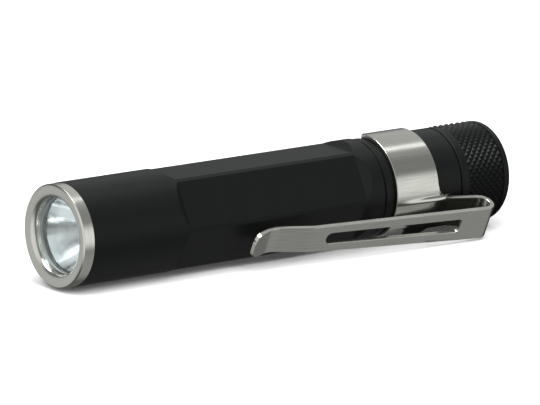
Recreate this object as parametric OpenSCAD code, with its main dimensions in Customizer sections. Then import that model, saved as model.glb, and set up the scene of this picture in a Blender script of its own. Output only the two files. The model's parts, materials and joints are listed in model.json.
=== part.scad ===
// Slim penlight that runs on one small cell, lying on its side.
// The axis of the light is the X axis and the lens looks along -X.
// The origin is on the axis, at the front end of the barrel, where the bezel seats.
// Turned profiles are written as [x, radius]. Angles about the axis start at +Y and grow towards +Z.

/* [Barrel] */
// Outer diameter of the barrel
barrel_d = 14; // [13.8:0.1:18]
// Length of the barrel from the bezel to the clip shoulder
barrel_l = 48.5; // [47:0.5:52]
// Number of flats milled round the barrel
flat_count = 6; // [5:1:8]
// Depth of each flat
flat_depth = 0.8; // [0.3:0.05:0.9]
// Distance from the bezel to the flats
flats_start = 14.25; // [14:0.25:20]
// Distance from the flats to the clip shoulder
flats_gap = 2.25; // [1.5:0.25:10]
// Length of the slope at each end of a flat
flat_run_out = 1.2; // [0.8:0.1:3]
// Direction that one flat faces about the axis
flats_turn = 152; // [0:1:359]
// Chamfer at the rear edge of the barrel
shoulder_chamfer = 0.4; // [0.1:0.05:0.6]
// Wall of the barrel round the head thread
head_wall = 0.66; // [0.5:0.02:0.8]
// Wall of the barrel round the cell
tube_wall = 1.65; // [1.5:0.05:1.8]

/* [Neck] */
// Step from the barrel down to the neck that the clip and the cap follow
neck_step = 0.15; // [0.1:0.01:0.25]
// Length of the neck from the shoulder to the cap
neck_l = 13.05; // [11:0.05:16]
// Depth of the groove that the clip band turns in
groove_depth = 0.1; // [0.05:0.05:0.2]
// Distance from the shoulder to the clip band
band_offset = 1.4; // [0.9:0.1:3]
// Step from the neck down to the thread on the tail of the tube
tail_thread_step = 0.75; // [0.65:0.05:0.85]
// Length of the threaded tail inside the cap
tail_thread_l = 4.7; // [4.4:0.1:6]
// Step from the neck down to the land that carries the tail seal
seal_step = 0.57; // [0.5:0.01:0.65]
// Thickness of the tail seal ring
tail_seal_d = 0.5; // [0.4:0.05:0.55]

/* [Cell] */
// Gap between the cell and the tube all round
cell_gap = 0.1; // [0.05:0.05:0.2]
// Diameter of the positive nub
nub_d = 3.8; // [3:0.1:5]
// Height of the positive nub
nub_l = 0.8; // [0.5:0.1:1.2]
// Thickness of the film jacket
jacket_t = 0.15; // [0.1:0.01:0.3]
// Thickness of the negative end plate
plate_t = 0.2; // [0.15:0.05:0.4]

/* [Head] */
// Length of the bezel in front of the barrel
bezel_l = 1.75; // [1:0.05:4]
// Step from the barrel down to the bezel
bezel_step = 0.05; // [0:0.01:0.3]
// Chamfer round the front edge of the bezel
bezel_chamfer = 0.2; // [0.1:0.05:0.5]
// Depth of the dish in the bezel face
dish_depth = 0.3; // [0:0.05:0.6]
// Width of the bezel lip in front of the lens
window_lip = 0.6; // [0.3:0.05:1.2]
// Depth from the bezel's front edge to the lens seal
lens_recess = 1.45; // [1:0.05:2.5]
// Wall of the threaded bezel sleeve
bezel_sleeve_wall = 0.55; // [0.4:0.05:0.8]
// Length of the threaded bezel sleeve
bezel_sleeve_l = 4.2; // [2.5:0.1:5.5]
// Thickness of the lens seal
lens_seal_t = 0.3; // [0.2:0.05:0.6]
// Thickness of the lens
lens_t = 1.2; // [0.8:0.1:1.6]
// Length of the reflector
reflector_l = 5.6; // [4:0.1:6]
// Width of the reflector flange
flange_w = 0.7; // [0.5:0.05:1.2]
// Diameter of the hole for the emitter
emitter_hole_d = 3; // [2.8:0.1:4]
// Thickness of the reflector flange
flange_t = 0.5; // [0.3:0.05:1]
// Wall of the reflector bowl at its mouth
reflector_wall = 0.35; // [0.2:0.05:0.5]
// Width of the square emitter base
emitter_w = 3.45; // [2.5:0.05:3.6]
// Thickness of the emitter base
emitter_t = 0.6; // [0.4:0.05:0.8]
// Diameter of the emitter dome
dome_d = 2.6; // [2.2:0.1:2.7]
// Width of the phosphor patch
phosphor_w = 1.4; // [0.8:0.1:1.5]
// Outer diameter of the white centring gasket
gasket_d = 6.4; // [5.6:0.1:6.6]
// Thickness of the emitter board
emitter_board_t = 1; // [0.8:0.1:1.2]

/* [Light engine] */
// Thickness of the front plate of the pill
pill_plate_t = 1.5; // [1:0.1:2]
// Wall of the pill skirt
pill_wall = 0.85; // [0.6:0.05:1]
// Depth of the pocket between the pill plate and the driver
driver_room = 2.1; // [1.9:0.1:2.4]
// Thickness of the driver board
driver_t = 1; // [0.8:0.1:1.2]
// Thickness of the ring that holds the driver
ring_t = 0.4; // [0.3:0.05:0.6]
// Width of the ring that holds the driver
ring_w = 1; // [0.6:0.1:1.5]
// Diameter of the lead wires
wire_d = 0.8; // [0.5:0.05:1]
// Distance of each wire from the edge of the boards
wire_edge = 1.4; // [1.2:0.05:1.6]
// Diameter of the contact button
button_d = 3.2; // [2:0.1:3.6]
// Height of the contact button
button_l = 1.7; // [1.4:0.1:2]
// Thickness of the insulator in front of the cell
insulator_t = 1; // [0.6:0.1:1.2]

/* [Clip] */
// Thickness of the clip strip
strip_t = 0.65; // [0.5:0.05:0.8]
// Length of the band along the neck
band_l = 7.2; // [5:0.1:8]
// Angle left open in the band, away from the arm
band_open = 114; // [60:1:130]
// Direction that the clip faces about the axis
clip_turn = 205.4; // [0:0.2:359]
// Width of the flat tab where it leaves the band
tab_w = 4.3; // [3.5:0.1:5]
// Radius between the band and the tab
tab_fillet = 1.3; // [0.8:0.1:1.6]
// Rise of the tab away from the cap
tab_rise = 15; // [12:0.5:18]
// Distance from the band to the outside of the turned end
turn_reach = 7.3; // [6.8:0.1:9]
// Inside radius of the turned end
turn_r = 0.95; // [0.7:0.05:1.3]
// Width of the clip at the turned end
arm_rear_w = 5; // [4.3:0.1:6]
// Width of the clip near its tip
arm_front_w = 3.7; // [3.4:0.1:4.6]
// Length of the arm from the turned end to its tip
arm_l = 39.2; // [36:0.2:42]
// Rounding of the corners of the tip
tip_corner = 1.3; // [0.8:0.1:1.6]
// Distance from the tip to the place where the arm comes nearest
contact_back = 3.5; // [3:0.1:5]
// Distance from the tip to the knee in the arm
knee_back = 9.4; // [8:0.1:13]
// Rise of the arm to its knee from the place where it comes nearest
knee_rise = 1.3; // [0.9:0.05:1.7]
// Lift of the tip above the place where the arm comes nearest
tip_lift = 1.1; // [0.6:0.05:1.6]
// Gap between the clip arm and the corners of the barrel
contact_gap = 0.15; // [0.1:0.05:0.4]
// Distance from the tip to the front of the slot
slot_back = 11.8; // [11:0.1:14]
// Length of the slot
slot_l = 21.8; // [16:0.2:24]
// Width of the slot at its front
slot_front_w = 1.7; // [1.2:0.1:2]
// Width of the slot at its rear
slot_rear_w = 2.1; // [1.6:0.1:2.6]

/* [Tail cap] */
// Length of the plain front of the cap
cap_land = 1.15; // [0.8:0.05:2]
// Step from the barrel down to the points of the knurl
knurl_step = 0.02; // [0:0.01:0.1]
// Depth of the knurl grooves
knurl_depth = 0.24; // [0.16:0.02:0.36]
// Number of knurl points in one row round the cap
knurl_count = 42; // [30:1:48]
// Number of knurl rows, each half a point long
knurl_rows = 12; // [8:2:14]
// Length of the knurled grip
knurl_l = 6.15; // [5:0.05:7]
// Length of the plain end behind the knurl
cap_end_l = 1.2; // [0.9:0.05:2.5]
// Step from the barrel down to the plain end behind the knurl
cap_end_step = 0.1; // [0.05:0.01:0.3]
// Rounding of the tail edge
cap_round = 0.65; // [0.3:0.05:0.8]
// Gap between the cap and the neck when the light is on
cap_gap = 0.2; // [0.1:0.05:0.4]
// Chamfer on each side of that gap
joint_chamfer = 0.12; // [0.05:0.01:0.2]

/* [Tail contact] */
// Working length of the tail spring
spring_l = 8.2; // [7:0.1:10]
// Thickness of the spring wire
spring_wire_d = 0.6; // [0.4:0.05:0.8]
// Diameter of the spring, across wire centres, at the cell
spring_front_d = 4.2; // [3:0.1:5]
// Distance from the spring to the edge of its seat
spring_edge = 0.4; // [0.2:0.05:0.7]
// Turns of the tail spring
spring_turns = 5; // [4:1:6]
// Thickness of the spring seat
seat_t = 0.6; // [0.4:0.05:1]
// Step from the tail thread down to the spring seat
seat_step = 1.9; // [1.7:0.05:2.1]
// Depth of the seat pocket in front of the seat
pocket_l = 1.1; // [0.8:0.05:1.4]

/* [Hidden] */
$fn = 96;

// Running and assembly clearances
thread_gap = 0.04;
turn_gap = 0.03;
seat_gap = 0.05;
slip = 0.02;
pill_room = 0.15;

// Radii, from the barrel inwards
barrel_r = barrel_d / 2;
neck_r = barrel_r - neck_step;
groove_r = neck_r - groove_depth;
bezel_r = barrel_r - bezel_step;
head_bore_r = barrel_r - head_wall;
head_r = head_bore_r - thread_gap;
lens_bore_r = head_r - bezel_sleeve_wall;
lens_r = lens_bore_r - seat_gap;
window_r = lens_r - window_lip;
mouth_r = lens_r - flange_w;
skirt_r = head_r - pill_wall;
driver_r = skirt_r - seat_gap;
wire_r = wire_d / 2;
wire_offset = driver_r - wire_edge;
cell_bore_r = barrel_r - tube_wall;
cell_r = cell_bore_r - cell_gap;
nub_r = nub_d / 2;
tail_thread_r = neck_r - tail_thread_step;
seal_land_r = neck_r - seal_step;
tail_seal_r = seal_land_r + turn_gap - tail_seal_d / 2;
seal_groove_r = tail_seal_r - tail_seal_d / 2 - slip;
knurl_r = barrel_r - knurl_step;
cap_end_r = barrel_r - cap_end_step;
seat_r = tail_thread_r - seat_step;
spring_front_r = spring_front_d / 2;
spring_rear_r = seat_r - spring_edge - spring_wire_d / 2;

// Parts on the front of the driver board, as [height, width, depth]
coil_size = [1.6, 2.8, 2.8];
chip_size = [0.9, 2.2, 2];
capacitor_size = [0.8, 0.9, 1.6];
diode_size = [0.8, 1.4, 0.8];
phosphor_t = 0.12;

// Places along the axis, from the front of the light to the tail
bezel_front = -bezel_l;
seal_x = bezel_front + lens_recess;
lens_x = seal_x + lens_seal_t;
mouth_x = lens_x + lens_t;
emitter_x = mouth_x + reflector_l;
board_x = emitter_x + emitter_t;
pill_x = board_x + emitter_board_t;
pocket_x = pill_x + pill_plate_t;
driver_x = pocket_x + driver_room;
driver_end = driver_x + driver_t;
pill_end = driver_end + ring_t;
head_bore_end = pill_end + pill_room;
cap_x = barrel_l + neck_l;
cap_front = cap_x + cap_gap;
tube_end = cap_x + tail_thread_l;
seat_x = tube_end + seat_gap + pocket_l;
// The cell fills the room between the button and the spring
cell_x = driver_end + button_l;
can_x = cell_x + nub_l;
cell_end = seat_x - spring_l;
plate_x = cell_end - plate_t;
knurl_x = cap_front + cap_land;
knurl_end = knurl_x + knurl_l;
cap_end = knurl_end + cap_end_l;
pocket_floor = seat_x + seat_t;
seal_land_l = 1.6;
seal_margin = 0.55;
seal_land_end = cap_x + seal_land_l;
seal_groove_x = cap_x + seal_margin;
seal_groove_l = tail_seal_d + 2 * seat_gap;

// Clip: heights are measured from the axis, in the direction that the clip faces
band_x = barrel_l + band_offset;
band_end = band_x + band_l;
band_in_r = groove_r + turn_gap;
band_out_r = band_in_r + strip_t;
groove_side = 0.2;
tab_in_h = neck_r + seat_gap;
tab_h = tab_in_h + strip_t / 2;
crease_angle = asin(tab_w / 2 / band_out_r) + 2;
turn_mid_r = turn_r + strip_t / 2;
turn_x = band_end + turn_reach - strip_t / 2;
crease_x = band_end + tab_fillet;
tip_x = band_end + turn_reach - arm_l;
contact_x = tip_x + contact_back;
contact_h = barrel_r + contact_gap + strip_t / 2;
tip_h = contact_h + tip_lift;
knee_x = tip_x + knee_back;
knee_h = contact_h + knee_rise;
tab_top_h = tab_h + tan(tab_rise) * (turn_x - crease_x);
split_l = 0.05;
split_h = tab_top_h + turn_mid_r * tan((90 - tab_rise) / 2) + split_l;
// The arm leaves the turned end on the line to the knee, which sets how far the end is turned
turn_over_guess = atan((split_h + turn_mid_r - knee_h) / (turn_x - knee_x));
arm_top_h = split_h + split_l + turn_mid_r * tan((90 + turn_over_guess) / 2);
tab_path = [[band_x, tab_h], [crease_x, tab_h], [turn_x, tab_top_h], [turn_x, split_h]];
arm_path = [[turn_x, split_h], [turn_x, arm_top_h], [knee_x, knee_h],
            [contact_x, contact_h], [tip_x, tip_h]];
tab_bends = [0, 2, turn_mid_r, 0];
arm_bends = [0, turn_mid_r, 8, 4, 0];

// Rings along the tail spring
steps_per_turn = 8;
spring_steps = spring_turns * steps_per_turn;

// Round piece about the X axis from a profile of [x, radius] points
module turned(profile)
    rotate([0, 90, 0])
        rotate_extrude()
            polygon([for (p = profile) [p[1], p[0]]]);

// Plain round bar about the X axis
module bar(x, l, r)
    translate([x, 0, 0])
        rotate([0, 90, 0])
            cylinder(h = l, r = r);

// Plain ring about the X axis
module ring(x, l, inner, outer)
    turned([[x, inner], [x, outer], [x + l, outer], [x + l, inner]]);

// Block that starts at x and is centred on y and z
module block(x, size, y = 0, z = 0)
    translate([x, y - size[1] / 2, z - size[2] / 2])
        cube(size);

// Direction from one path point to the next
function heading(a, b) = atan2(b[1] - a[1], b[0] - a[0]);

// Change of direction at path point i, positive to the left
function turn_at(p, i) =
    let (t = heading(p[i], p[i + 1]) - heading(p[i - 1], p[i]))
    t > 180 ? t - 360 : t < -180 ? t + 360 : t;

// Length that the bend at path point i takes from the straights beside it
function setback(p, r, i) =
    i == 0 || i == len(p) - 1 ? 0 : r[i] * tan(abs(turn_at(p, i)) / 2);

// Points along one side of a strip whose middle follows a path, with a round bend at each inner point.
// The side lies to the left of the path by the offset
function strip_side(p, r, offset) =
    let (last = len(p) - 1, bend_steps = 10, start = heading(p[0], p[1]), finish = heading(p[last - 1], p[last]))
    concat([p[0] + offset * [-sin(start), cos(start)]],
           [for (i = [1:last - 1])
            let (a = heading(p[i - 1], p[i]), t = turn_at(p, i), side = sign(t),
                 centre = p[i] - setback(p, r, i) * [cos(a), sin(a)] + side * r[i] * [-sin(a), cos(a)])
            for (k = [0:bend_steps])
            let (at = a - 90 * side + t * k / bend_steps)
            centre + (r[i] - side * offset) * [cos(at), sin(at)]],
           [p[last] + offset * [-sin(finish), cos(finish)]]);

// List in the opposite order
function backwards(list) = [for (i = [len(list) - 1:-1:0]) list[i]];

// Strip of the clip, bent along a path, before its outline is cut
module clip_strip(p, r)
    rotate([90, 0, 0])
        linear_extrude(2 * arm_rear_w, center = true)
            polygon(concat(strip_side(p, r, strip_t / 2), backwards(strip_side(p, r, -strip_t / 2))));

// Points on an arc
function arc(centre, r, from, to) =
    let (steps = ceil($fn * abs(to - from) / 900))
    [for (k = [0:steps])
     let (a = from + (to - from) * k / steps)
     centre + r * [cos(a), sin(a)]];

module flat_cutter() {
    floor_r = barrel_r - flat_depth;
    slope = flat_run_out / flat_depth;
    above = 1;
    flats_end = barrel_l - flats_gap;
    linear_extrude(2 * barrel_d, center = true)
        polygon([[flats_start - above * slope, barrel_r + above], [flats_start + flat_run_out, floor_r],
                 [flats_end - flat_run_out, floor_r], [flats_end + above * slope, barrel_r + above]]);
}

module body_tube()
    color("#26282a")
        difference() {
            turned([[0, head_bore_r], [0, barrel_r],
                    [barrel_l - shoulder_chamfer, barrel_r], [barrel_l, barrel_r - shoulder_chamfer],
                    [barrel_l, neck_r], [band_x - groove_side, neck_r], [band_x - groove_side, groove_r],
                    [band_end + groove_side, groove_r], [band_end + groove_side, neck_r],
                    [cap_x - joint_chamfer, neck_r], [cap_x, neck_r - joint_chamfer], [cap_x, seal_land_r],
                    [seal_groove_x, seal_land_r], [seal_groove_x, seal_groove_r],
                    [seal_groove_x + seal_groove_l, seal_groove_r], [seal_groove_x + seal_groove_l, seal_land_r],
                    [seal_land_end, seal_land_r], [seal_land_end, tail_thread_r], [tube_end, tail_thread_r],
                    [tube_end, cell_bore_r], [head_bore_end, cell_bore_r], [head_bore_end, head_bore_r]]);
            for (k = [0:flat_count - 1])
                rotate([flats_turn + 360 / flat_count * k, 0, 0])
                    flat_cutter();
        }

module bezel_ring()
    color("#b9b8b0")
        turned([[bezel_front + dish_depth, window_r], [bezel_front, bezel_r - bezel_chamfer],
                [bezel_front + bezel_chamfer, bezel_r], [0, bezel_r], [0, head_r],
                [bezel_sleeve_l, head_r], [bezel_sleeve_l, lens_bore_r], [seal_x, lens_bore_r],
                [seal_x, window_r]]);

module lens_seal()
    color("#3a3f42")
        ring(seal_x, lens_seal_t, window_r, lens_r);

module lens()
    color("#cfe3e6", 0.4)
        bar(lens_x, lens_t, lens_r);

module reflector() {
    steps = 10;
    hole_r = emitter_hole_d / 2;
    depth_factor = reflector_l / (pow(mouth_r, 2) - pow(hole_r, 2));
    bowl = [for (k = [0:steps])
            let (r = mouth_r + (hole_r - mouth_r) * k / steps)
            [mouth_x + depth_factor * (pow(mouth_r, 2) - pow(r, 2)), r]];
    back_r = gasket_d / 2;
    color("#d6d8d8")
        turned(concat(bowl, [[emitter_x, back_r], [mouth_x + flange_t, mouth_r + reflector_wall],
                             [mouth_x + flange_t, lens_r], [mouth_x, lens_r]]));
}

module led_gasket()
    color("#f2f2ee")
        difference() {
            bar(emitter_x, emitter_t, gasket_d / 2);
            block(emitter_x - 1, [emitter_t + 2, emitter_w + 2 * seat_gap, emitter_w + 2 * seat_gap]);
        }

module led_base()
    color("#e8e6dc")
        block(emitter_x, [emitter_t, emitter_w, emitter_w]);

module led_phosphor()
    color("#f0d23c")
        block(emitter_x - phosphor_t, [phosphor_t, phosphor_w, phosphor_w]);

module led_dome()
    color("#f6e9a8", 0.5)
        difference() {
            translate([emitter_x, 0, 0])
                sphere(r = dome_d / 2);
            block(emitter_x, [dome_d, 2 * dome_d, 2 * dome_d]);
            block(emitter_x - phosphor_t - slip, [1, phosphor_w + 2 * slip, phosphor_w + 2 * slip]);
        }

// Round bars on both sides of the emitter, where the lead wires run
module wire_bars(x, l, r)
    for (side = [-1, 1])
        translate([0, side * wire_offset, 0])
            bar(x, l, r);

module led_board()
    color("#dadfd8")
        difference() {
            bar(board_x, emitter_board_t, driver_r);
            wire_bars(board_x - 1, emitter_board_t + 2, wire_r + seat_gap);
        }

module lead_wire(side)
    translate([0, side * wire_offset, 0])
        bar(board_x, driver_x - board_x, wire_r);

module led_wire_positive()
    color("#b03a2e")
        lead_wire(1);

module led_wire_negative()
    color("#1c1d1f")
        lead_wire(-1);

module pill()
    color("#b08d4a")
        difference() {
            turned([[pill_x, 0], [pill_x, head_r], [pill_end, head_r], [pill_end, skirt_r],
                    [pocket_x, skirt_r], [pocket_x, 0]]);
            wire_bars(pill_x - 1, pill_plate_t + 2, wire_r + 2 * seat_gap);
        }

module driver_board()
    color("#1f5a3a")
        bar(driver_x, driver_t, driver_r);

// Part that stands on the front of the driver board
module on_driver(size, y, z)
    block(driver_x - size[0], size, y, z);

module driver_coil()
    color("#55585c")
        on_driver(coil_size, 0, 1.9);

module driver_chip()
    color("#1c1d1f")
        on_driver(chip_size, -1.3, -1.4);

module driver_capacitor()
    color("#a88a5c")
        on_driver(capacitor_size, 1.3, -1.2);

module driver_diode()
    color("#1c1d1f")
        on_driver(diode_size, 0.2, -3.4);

module driver_ring()
    color("#b08d4a")
        ring(driver_end, ring_t, driver_r - ring_w, driver_r);

module positive_contact() {
    rim_l = 0.5;
    color("#c9a24d")
        turned([[driver_end, 0], [driver_end, button_d / 2 + rim_l], [driver_end + rim_l, button_d / 2 + rim_l],
                [driver_end + rim_l, button_d / 2], [cell_x, button_d / 2], [cell_x, 0]]);
}

module contact_insulator()
    color("#e9e7df")
        ring(can_x - seat_gap - insulator_t, insulator_t, max(nub_d, button_d) / 2 + 4 * seat_gap,
             cell_bore_r - seat_gap);

module cell_positive_cap()
    color("#c4c6c6")
        bar(cell_x, nub_l, nub_r);

module cell_can()
    color("#9fa3a6")
        bar(can_x, plate_x - can_x, cell_r - jacket_t);

module cell_jacket()
    color("#3f6f8f")
        ring(can_x, plate_x - can_x, cell_r - jacket_t, cell_r);

module cell_negative_cap()
    color("#c4c6c6")
        bar(plate_x, plate_t, cell_r - 3 * jacket_t);

module tail_o_ring()
    color("#17181a")
        rotate([0, 90, 0])
            translate([0, 0, seal_groove_x + seal_groove_l / 2])
                rotate_extrude()
                    translate([tail_seal_r, 0])
                        circle(d = tail_seal_d);

// Turns a clip piece that is drawn facing +Z to the direction that the clip faces
module clip_place()
    rotate([clip_turn - 90, 0, 0])
        children();

// End view of the band: an open round with a crease on each side of the flat that carries the tab
module band_section() {
    open_half = band_open / 2;
    reach = 2 * band_out_r;
    half = tab_w / 2;
    lap = strip_t / 5;
    difference() {
        circle(r = band_out_r);
        circle(r = band_in_r);
        polygon([[0, 0], reach * [sin(open_half), -cos(open_half)], [0, -reach / cos(open_half)],
                 reach * [-sin(open_half), -cos(open_half)]]);
        polygon([[0, 0], reach * [sin(crease_angle), cos(crease_angle)],
                 reach * [-sin(crease_angle), cos(crease_angle)]]);
    }
    for (side = [-1, 1])
        polygon([(band_in_r + lap) * [side * sin(crease_angle + 1), cos(crease_angle + 1)],
                 (band_out_r - lap / 2) * [side * sin(crease_angle + 4), cos(crease_angle + 4)],
                 [side * (half - lap), tab_in_h + strip_t - lap / 2],
                 [side * (half - strip_t), tab_in_h + lap]]);
}

// Top view of what is cut away on one side of the tab, with the round corner at the band
module tab_side_cut() {
    half = tab_w / 2;
    polygon(concat(arc([band_end + tab_fillet, half + tab_fillet], tab_fillet, 180, 270),
                   [[turn_x, half], [turn_x, barrel_d], [band_end, barrel_d]]));
}

// Top view of the flat and the tab
module tab_outline() {
    half = tab_w / 2;
    end_x = turn_x + strip_t;
    polygon([[band_x, -half], [band_end, -half], [end_x, -arm_rear_w / 2], [end_x, arm_rear_w / 2],
             [band_end, half], [band_x, half]]);
}

module clip_band()
    color("#b9b8b0")
        clip_place() {
            difference() {
                translate([band_x, 0, 0])
                    rotate([90, 0, 90])
                        linear_extrude(band_l + tab_fillet)
                            band_section();
                linear_extrude(barrel_d)
                    tab_side_cut();
                linear_extrude(barrel_d)
                    mirror([0, 1])
                        tab_side_cut();
                block(band_end, [2 * tab_fillet, 2 * barrel_d, barrel_d], 0, -barrel_d / 2);
                bar(band_end, 2 * tab_fillet, tab_in_h);
            }
            intersection() {
                clip_strip(tab_path, tab_bends);
                linear_extrude(barrel_d)
                    tab_outline();
            }
        }

// Top view of the arm with its rounded tip and its long slot
module arm_outline() {
    slot_x = tip_x + slot_back;
    slot_end = slot_x + slot_l;
    end_x = turn_x + strip_t;
    tip_side = arm_front_w / 2 - tip_corner;
    slot_r = slot_front_w / 2;
    corner = 0.5;
    side = slot_rear_w / 2 - corner;
    difference() {
        polygon(concat(arc([tip_x + tip_corner, tip_side], tip_corner, 90, 180),
                       arc([tip_x + tip_corner, -tip_side], tip_corner, 180, 270),
                       [[end_x, -arm_rear_w / 2], [end_x, arm_rear_w / 2]]));
        polygon(concat(arc([slot_x + slot_r, 0], slot_r, 90, 270),
                       arc([slot_end - corner, -side], corner, 270, 360),
                       arc([slot_end - corner, side], corner, 0, 90)));
    }
}

module clip_arm()
    color("#b9b8b0")
        clip_place()
            intersection() {
                clip_strip(arm_path, arm_bends);
                linear_extrude(barrel_d)
                    arm_outline();
            }

// Wire centre of the tail spring after k of its steps
function spring_point(k) =
    let (share = k / spring_steps,
         r = spring_front_r + (spring_rear_r - spring_front_r) * share,
         a = 360 * k / steps_per_turn)
    [cell_end + slip + spring_wire_d / 2 + (spring_l - 2 * slip - spring_wire_d) * share, r * cos(a), r * sin(a)];

// Tube of six sides along the spring, closed at both ends
module tail_spring() {
    sides = 6;
    centres = [for (k = [0:spring_steps]) spring_point(k)];
    points = [for (k = [0:spring_steps])
              let (a = 360 * k / steps_per_turn, out = [0, cos(a), sin(a)])
              for (s = [0:sides - 1])
              centres[k] + spring_wire_d / 2 * (cos(360 * s / sides) * out + [sin(360 * s / sides), 0, 0])];
    walls = [for (k = [0:spring_steps - 1])
             for (s = [0:sides - 1])
             let (a = k * sides + s, b = k * sides + (s + 1) % sides)
             for (f = [[a, b, b + sides], [a, b + sides, a + sides]]) f];
    ends = [for (s = [1:sides - 2])
            for (f = [[0, s + 1, s], spring_steps * sides * [1, 1, 1] + [0, s, s + 1]]) f];
    gaps = [for (i = [0:spring_steps])
            for (j = [i + steps_per_turn - 2:1:spring_steps])
            norm(centres[j] - centres[i]) - spring_wire_d];
    echo(tail_spring_least_gap_mm = min(gaps));
    color("#c9a24d")
        polyhedron(points, concat(walls, ends), convexity = 10);
}

module spring_seat()
    color("#c9a24d")
        bar(seat_x, seat_t, seat_r);

// Round solid of many flat faces about the X axis. Each station gives the place of a ring, its radius
// and the depth by which every second corner is sunk, with the sunk corners stepping along from ring to ring
module grooved_round(stations, columns) {
    last = len(stations) - 1;
    points = [for (i = [0:last])
              for (c = [0:columns - 1])
              let (s = stations[i], r = s[1] - ((i + c) % 2 == 0 ? s[2] : 0), a = 360 * c / columns)
              [s[0], r * cos(a), r * sin(a)]];
    walls = [for (i = [0:last - 1])
             for (c = [0:columns - 1])
             let (a = i * columns + c, b = i * columns + (c + 1) % columns, d = a + columns, e = b + columns)
             for (f = (i + c) % 2 == 0 ? [[a, b, e], [a, e, d]] : [[a, b, d], [b, e, d]]) f];
    front = [for (c = [columns - 1:-1:0]) c];
    rear = [for (c = [0:columns - 1]) last * columns + c];
    polyhedron(points, concat(walls, [front, rear]), convexity = 4);
}

module tail_cap() {
    lead = 0.15;
    row_l = (knurl_l - 2 * lead) / knurl_rows;
    seal_bore_r = tail_seal_r + tail_seal_d / 2 + turn_gap;
    thread_bore_r = tail_thread_r + thread_gap;
    pocket_r = seat_r + turn_gap;
    seal_bore_end = seal_land_end + 2 * seat_gap;
    pocket_start = tube_end + seat_gap;
    round_steps = 5;
    front_rings = [[cap_front, neck_r - joint_chamfer, 0], [cap_front + joint_chamfer, neck_r, 0],
                   [knurl_x, neck_r, 0]];
    knurl_rings = [for (k = [0:knurl_rows]) [knurl_x + lead + k * row_l, knurl_r, knurl_depth]];
    tail_rings = [for (k = [0:round_steps])
                  let (a = 90 * k / round_steps)
                  [cap_end - cap_round + cap_round * sin(a), cap_end_r - cap_round + cap_round * cos(a), 0]];
    color("#2b2d2f")
        difference() {
            grooved_round(concat(front_rings, knurl_rings, [[knurl_end, cap_end_r, 0]], tail_rings), 2 * knurl_count);
            turned([[cap_front - 1, 0], [cap_front - 1, seal_bore_r], [seal_bore_end, seal_bore_r],
                    [seal_bore_end, thread_bore_r], [pocket_start, thread_bore_r], [pocket_start, pocket_r],
                    [pocket_floor + slip, pocket_r], [pocket_floor + slip, 0]]);
        }
}

body_tube();
bezel_ring();
lens_seal();
lens();
reflector();
led_gasket();
led_base();
led_phosphor();
led_dome();
led_board();
led_wire_positive();
led_wire_negative();
pill();
driver_board();
driver_coil();
driver_chip();
driver_capacitor();
driver_diode();
driver_ring();
positive_contact();
contact_insulator();
cell_positive_cap();
cell_can();
cell_jacket();
cell_negative_cap();
tail_o_ring();
clip_band();
clip_arm();
tail_spring();
spring_seat();
tail_cap();
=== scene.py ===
"""Looks of a slim penlight that lies on its side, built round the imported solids.

Lengths in the classes are millimetres, as on a drawing of the part, and a finished mesh is brought to metres.
The axis of the light is X, the lens looks along -X and Z is up. Profiles are (x, radius) points, and angles
about the axis start at +Y and grow towards +Z.
"""

import json
import logging
import math
from dataclasses import dataclass, field
from enum import Enum
from typing import Callable, ClassVar, Sequence

import bpy
import numpy as np
from mathutils import Matrix, Vector


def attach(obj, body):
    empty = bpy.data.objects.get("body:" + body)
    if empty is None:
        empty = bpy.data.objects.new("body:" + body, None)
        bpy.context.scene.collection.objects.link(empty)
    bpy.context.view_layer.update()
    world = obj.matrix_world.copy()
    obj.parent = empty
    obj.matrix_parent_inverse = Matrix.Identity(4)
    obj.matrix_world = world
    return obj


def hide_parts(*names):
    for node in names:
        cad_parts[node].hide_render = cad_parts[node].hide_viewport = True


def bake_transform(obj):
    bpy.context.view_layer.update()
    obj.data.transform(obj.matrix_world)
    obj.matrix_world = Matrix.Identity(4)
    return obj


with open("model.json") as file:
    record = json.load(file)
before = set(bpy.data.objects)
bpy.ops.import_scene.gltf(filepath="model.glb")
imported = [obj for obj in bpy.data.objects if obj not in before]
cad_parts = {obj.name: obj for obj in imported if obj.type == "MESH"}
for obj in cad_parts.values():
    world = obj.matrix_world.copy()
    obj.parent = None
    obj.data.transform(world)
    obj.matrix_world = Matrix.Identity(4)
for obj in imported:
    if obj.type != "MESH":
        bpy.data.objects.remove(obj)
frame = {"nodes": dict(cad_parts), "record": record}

LOG = logging.getLogger("penlight")
MM = 0.001
MERGE = 1e-4
FULL_TURN = 2 * math.pi

Point2 = tuple[float, float]
Point3 = tuple[float, float, float]
Colour = tuple[float, float, float]


def deselect_all() -> None:
    """Clears the selection, which holds the loaded solids at the start."""
    bpy.ops.object.select_all(action="DESELECT")


def pick(piece: bpy.types.Object) -> None:
    """Makes one piece the only selected and the active one.

    Args:
        piece: Object to pick.
    """
    deselect_all()
    piece.select_set(True)
    bpy.context.view_layer.objects.active = piece


def open_mesh(piece: bpy.types.Object) -> None:
    """Enters edit mode on a piece with all of its mesh selected.

    Args:
        piece: Mesh object in object mode.
    """
    pick(piece)
    bpy.ops.object.mode_set(mode="EDIT")
    bpy.ops.mesh.select_all(action="SELECT")


def close_mesh() -> None:
    """Leaves edit mode."""
    bpy.ops.object.mode_set(mode="OBJECT")


def places_of(piece: bpy.types.Object) -> np.ndarray:
    """Reads the places of a piece's corners.

    Args:
        piece: Mesh object in object mode.

    Returns:
        One row of three coordinates for each corner.
    """
    places = np.empty(len(piece.data.vertices) * 3, dtype=np.float32)
    piece.data.vertices.foreach_get("co", places)
    return places.reshape(-1, 3).astype(float)


def from_axis(places: np.ndarray) -> np.ndarray:
    """Works out how far each place lies from the axis of the light."""
    return np.hypot(places[:, 1], places[:, 2])


def move_to(piece: bpy.types.Object, places: np.ndarray) -> None:
    """Puts the corners of a piece at new places."""
    piece.data.vertices.foreach_set("co", places.astype(np.float32).ravel())
    piece.data.update()


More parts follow.
